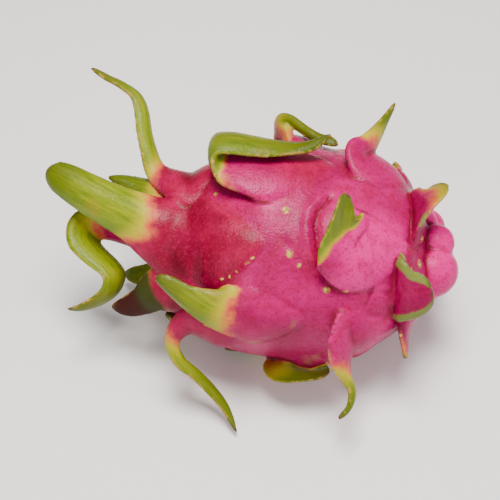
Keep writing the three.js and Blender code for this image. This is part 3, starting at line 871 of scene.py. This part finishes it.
def relaxed_points(mesh, coords, passes):
    return np.stack([neighbour_mean(mesh, coords[:, axis], passes) for axis in range(3)], axis=-1)


# Where a scale flows into the body without a step: (mm along the axis, degrees round it, radius)
FLOWING_JOINTS = [(-49, 30, 9), (-49, 46, 9)]
JOINT_PASSES = 220
HOLLOW_PASSES = 40


def soften_joints(mesh, coords):
    """Relaxes the skin most in the middle of each flowing joint."""
    relaxed = relaxed_points(mesh, coords, JOINT_PASSES)
    for along, degrees, radius in FLOWING_JOINTS:
        away = np.linalg.norm(coords - skin_point(along, degrees), axis=1)
        share = np.exp(-((away / radius) ** 4))
        coords = coords + (relaxed - coords) * share[:, None]
    move_points(mesh, coords)
    return coords


def hollowness(mesh, coords):
    """How many millimetres the skin lies under its own smoothed shape: folds above 0, crests below."""
    smoothed = relaxed_points(mesh, coords, HOLLOW_PASSES)
    depth = ((smoothed - coords) * normals_of(mesh)).sum(axis=1)
    return neighbour_mean(mesh, depth, 2)


def set_attribute(mesh, name, values):
    layer = mesh.attributes.new(name, "FLOAT", "POINT")
    layer.data.foreach_set("value", values.astype(np.float32))


# Dry corky spots where the skin was rubbed: (mm along the axis, degrees round it, radius). Small ones stand
# on the rims of the scales, and flat stains lie low on the front.
CALLUSES = [
    (-7, 18, 1.6),
    (-6, 40, 1.5),
    (-2, 45, 1.0),
    (9, 58, 1.4),
    (16, 60, 1.2),
    (50, 28, 1.6),
    (48, 47, 1.8),
    (-37, 1, 0.9),
    (-33, 54, 0.6),
    (-30, 52, 0.4),
    (-27, 49, 0.5),
    (-23, 45, 0.4),
    (-20, 42, 0.6),
]
STAINS = [(-20, 94, 4), (4, 108, 5), (12, 104, 4), (-3, 78, 3)]
SMALL_CALLUSES = 36
SMALL_RADII = (0.4, 0.9)
CALLUS_HEIGHT = 0.5
OPEN_RIM = 1.3  # a rim is in the open, not grown in, if the skin is this near


def spotted(skin, spots):
    """1 in the middle of each (point, radius) spot on the skin, fading to 0 round it."""
    shade = np.zeros(len(skin))
    for point, radius in spots:
        away = np.linalg.norm(skin - point, axis=1)
        shade = np.maximum(shade, np.exp(-((away / radius) ** 2)))
    return shade


def skin_spots(spots, tree):
    """The skin's own point nearest to each (along, degrees) place."""
    found = []
    for along, degrees, radius in spots:
        nearest = tree.find(skin_point(along, degrees, SKIN_LIFT))[0]
        found.append((np.array(nearest), radius))
    return found


def small_calluses(open_rims):
    rubbed = random.Random(5)
    return [(rubbed.choice(open_rims), rubbed.uniform(*SMALL_RADII)) for _ in range(SMALL_CALLUSES)]


# How many times each fact is averaged with its surroundings on the skin.
SOFTENING = dict(along=1, across=1, inner=2, to_tip=2, flush_and_painted_light=3, green=3, dried_and_shade=3, fringe=2, corky=3)

places, facts, rims = gather_facts()
fruit = grow_together()
mesh = fruit.data
skin = soften_joints(mesh, press_flat(mesh))
skin_tree = tree_of(skin)
open_rims = [point for point in rims if skin_tree.find(point)[2] < OPEN_RIM]
callus = spotted(skin, skin_spots(CALLUSES, skin_tree) + small_calluses(open_rims))
stain = spotted(skin, skin_spots(STAINS, skin_tree))

place_tree = tree_of(places)
rim_tree = tree_of(open_rims)
nearest = np.array([place_tree.find(point)[1] for point in skin])
rim_distance = np.array([rim_tree.find(point)[2] for point in skin])
soft = {key: known[nearest] for key, known in facts.items()}
# The blushes deepen or pale the pink: partly its own colour, partly painted shade and painted highlights.
soft["flush_and_painted_light"] = soft["flush_and_painted_light"] + blush_and_painted_light(skin)
for key, passes in SOFTENING.items():
    soft[key] = neighbour_mean(mesh, soft[key], passes)
callus = np.maximum(callus, soft.pop("corky"))
for key, values in soft.items():
    set_attribute(mesh, key, values)
set_attribute(mesh, "rim", np.minimum(rim_distance, FAR_FROM_RIM))
set_attribute(mesh, "hollow", hollowness(mesh, skin))
set_attribute(mesh, "callus", callus)
set_attribute(mesh, "stain", stain)
move_points(mesh, skin + normals_of(mesh) * (callus * CALLUS_HEIGHT)[:, None])
deselect_all()
fruit.select_set(True)
bpy.context.view_layer.objects.active = fruit
bpy.ops.object.shade_smooth()


# The finish of the rind: a thin waxy skin, hot pink to crimson, with pores and fine flecks. Towards the tips
# of the scales it turns through yellow to leaf green. Some margins are green or dried to tan, and the tips go
# brown.
def add_node(kind, inputs=None, links=None, **settings):
    """Adds one node, sets its fields and inputs, and links it from (node, output) pairs."""
    node = tree.nodes.new(kind)
    for key, value in settings.items():
        setattr(node, key, value)
    for key, value in (inputs or {}).items():
        node.inputs[key].default_value = value
    for key, (source, output) in (links or {}).items():
        tree.links.new(source.outputs[output], node.inputs[key])
    return node


def read_attribute(name):
    return (add_node("ShaderNodeAttribute", attribute_name=name), "Fac")


def fill(node, socket, value):
    """Sets a socket from a hex colour, a number or a (node, output) pair."""
    if isinstance(value, tuple):
        tree.links.new(value[0].outputs[value[1]], node.inputs[socket])
    elif isinstance(value, str):
        node.inputs[socket].default_value = linear(value)
    else:
        node.inputs[socket].default_value = value


def mix(factor, first, second, blend="MIX"):
    node = add_node("ShaderNodeMix", data_type="RGBA", blend_type=blend)
    fill(node, 0, factor)
    fill(node, 6, first)
    fill(node, 7, second)
    return (node, 2)


def spread(source, low, high, to_low=0.0, to_high=1.0):
    """A value that goes softly from to_low to to_high as the source goes from low to high."""
    node = add_node("ShaderNodeMapRange", interpolation_type="SMOOTHSTEP", links={0: source})
    for socket, value in enumerate((low, high, to_low, to_high), start=1):
        node.inputs[socket].default_value = value
    return (node, 0)


def maths(operation, *values):
    node = add_node("ShaderNodeMath", operation=operation)
    for socket, value in enumerate(values):
        fill(node, socket, value)
    return (node, 0)


def noise(size, detail=3.0, vector=None):
    """Noise whose patches are about size millimetres across."""
    links = {"Vector": vector or place}
    inputs = {"Scale": 1 / (size * MM), "Detail": detail, "Roughness": 0.55}
    return (add_node("ShaderNodeTexNoise", inputs=inputs, links=links), 0)


def centred(source, height):
    """A noise about 0 that swings by the given height in all."""
    return maths("MULTIPLY", maths("SUBTRACT", source, 0.5), height)


rind, shader = new_material("Waxy pink and green rind")
tree = rind.node_tree
place = (add_node("ShaderNodeTexCoord"), "Object")
green = read_attribute("green")
dried_and_shade = read_attribute("dried_and_shade")
fringe = read_attribute("fringe")
flush_and_painted_light = read_attribute("flush_and_painted_light")
hollow = read_attribute("hollow")
callus = read_attribute("callus")
stain = read_attribute("stain")
along = read_attribute("along")
across = read_attribute("across")
to_tip = read_attribute("to_tip")
inner = read_attribute("inner")
rim = read_attribute("rim")

# Pink: magenta on the bulges, crimson towards the flower end.
# Painted shade darkens the folds and a painted highlight brightens the crests.
clouds = noise(16)
mottle = noise(4.5)
flecks = noise(1.1, detail=2.0)
magenta = mix(spread(clouds, 0.35, 0.68), "94004a", "b20060")
magenta = mix(spread(flush_and_painted_light, -0.1, -0.6), magenta, "dc0080")
crimson = mix(spread(clouds, 0.3, 0.7), "7c0026", "a80044")
crimson = mix(spread(flush_and_painted_light, 1.1, 1.8), crimson, "600018")
pink = mix(spread(flush_and_painted_light, 0.15, 0.85), magenta, crimson)
# painted shade: the pink darkens to crimson in the folds
pink = mix(spread(hollow, 0.0, 0.5, 0.0, 0.8), pink, "6c001c")
# painted highlight: brighter pink on the crests, except where the pink is crimson
crest_highlight = maths("MULTIPLY", spread(hollow, -0.6, -1.6, 0.0, 0.35), spread(flush_and_painted_light, 0.8, 0.1))
pink = mix(crest_highlight, pink, "d40c80")
pink = mix(spread(mottle, 0.45, 0.7, 0.0, 0.4), pink, "96002e")
pink = mix(spread(flecks, 0.52, 0.7, 0.0, 0.2), pink, "cc1068")
pink = mix(spread(flecks, 0.47, 0.32, 0.0, 0.42), pink, "780028")

# Green: leaf green streaked along the blade, with yellower patches, and olive at the tip.
blade_place = (add_node("ShaderNodeCombineXYZ", links={0: along, 1: across}), 0)
stretched = add_node(
    "ShaderNodeVectorMath",
    operation="MULTIPLY",
    inputs={1: (0.05 * MM, 0.8 * MM, 1)},
    links={0: blade_place},
)
streaks = noise(1.0, vector=(stretched, 0))
leaf = mix(spread(streaks, 0.3, 0.7), "5a7005", "889206")
leaf = mix(spread(mottle, 0.38, 0.72, 0.0, 0.5), leaf, "768004")
leaf = mix(spread(across, 0.5, 7.0, 0.0, 0.35), leaf, "60842a")
leaf = mix(spread(noise(20), 0.52, 0.72, 0.0, 0.45), leaf, "9c7c26")
leaf = mix(spread(to_tip, 34.0, 4.0, 0.0, 0.75), leaf, "46520f")

# The turn from pink through salmon and yellow to green, and the margins and blades that go their own way.
yellow = mix(spread(green, 0.5, 1.0), "b4a420", leaf)
turned = maths("ADD", green, centred(noise(7), 0.6))
salmon = mix(spread(turned, 0.22, 0.5), pink, "d05c3a")
skin_colour = mix(spread(turned, 0.38, 0.66), salmon, yellow)
fringe = maths("MULTIPLY", fringe, spread(green, 0.5, 0.2))
fringe_colour = mix(streaks, "66762c", "8a9a4a")
skin_colour = mix(spread(fringe, 0.3, 0.7), skin_colour, fringe_colour)
# Dried olive and maroon, partly painted shade on the loop and the cup.
drying_and_shade = maths("ADD", dried_and_shade, centred(clouds, 0.8))
dried_and_shade_colour = mix(spread(along, 15.0, 23.0), "33360a", "34100c")
skin_colour = mix(spread(drying_and_shade, 0.3, 0.8), skin_colour, dried_and_shade_colour)

# Painted shade darkens the inside of a blade and turns the folds maroon.
# A thin line of the margins has dried to tan.
skin_colour = mix(spread(inner, 0.5, 1.0, 0.0, 0.35), skin_colour, "8a7050", blend="MULTIPLY")
skin_colour = mix(spread(hollow, 0.35, 1.1, 0.0, 0.8), skin_colour, "4a1414")
dashes = noise(3.2, detail=2.0)
rim_line = maths("MULTIPLY", spread(rim, 1.5, 0.5), spread(dashes, 0.44, 0.58))
rim_colour = mix(spread(green, 0.1, 0.4), "6a2a1c", "a8843c")
skin_colour = mix(maths("MULTIPLY", rim_line, 0.75), skin_colour, rim_colour)

# Brown tips, corky spots and flat stains.
tip_dry = maths("MULTIPLY", spread(to_tip, 5.0, 0.5), spread(mottle, 0.35, 0.6))
skin_colour = mix(tip_dry, skin_colour, "4a3a1c")
cork_colour = mix(spread(flecks, 0.4, 0.6), "8c6428", "d0a850")
skin_colour = mix(spread(callus, 0.2, 0.6), skin_colour, cork_colour)
blotch = maths("MULTIPLY", spread(stain, 0.2, 0.9, 0.0, 0.55), spread(mottle, 0.4, 0.6))
skin_colour = mix(blotch, skin_colour, "8c6c44")
fill(shader, "Base Color", skin_colour)

# Gloss and relief: wax over fine pores, duller where the blade has dried.
dull = maths("MULTIPLY", spread(drying_and_shade, 0.3, 0.8), 0.35)
fill(shader, "Roughness", maths("ADD", spread(mottle, 0.3, 0.7, 0.27, 0.4), dull))
shader.inputs["Specular IOR Level"].default_value = 0.14
relief = maths("ADD", maths("MULTIPLY", noise(0.9, detail=2.0), 0.5), maths("MULTIPLY", mottle, 0.9))
relief = maths("ADD", relief, maths("MULTIPLY", rim_line, 0.5))
bump = add_node(
    "ShaderNodeBump",
    inputs={"Strength": 0.6, "Distance": 0.6 * MM},
    links={"Height": relief},
)
fill(shader, "Normal", (bump, 0))
fruit.data.materials.clear()
fruit.data.materials.append(rind)

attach(fruit, "root")
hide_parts("dragon_fruit")
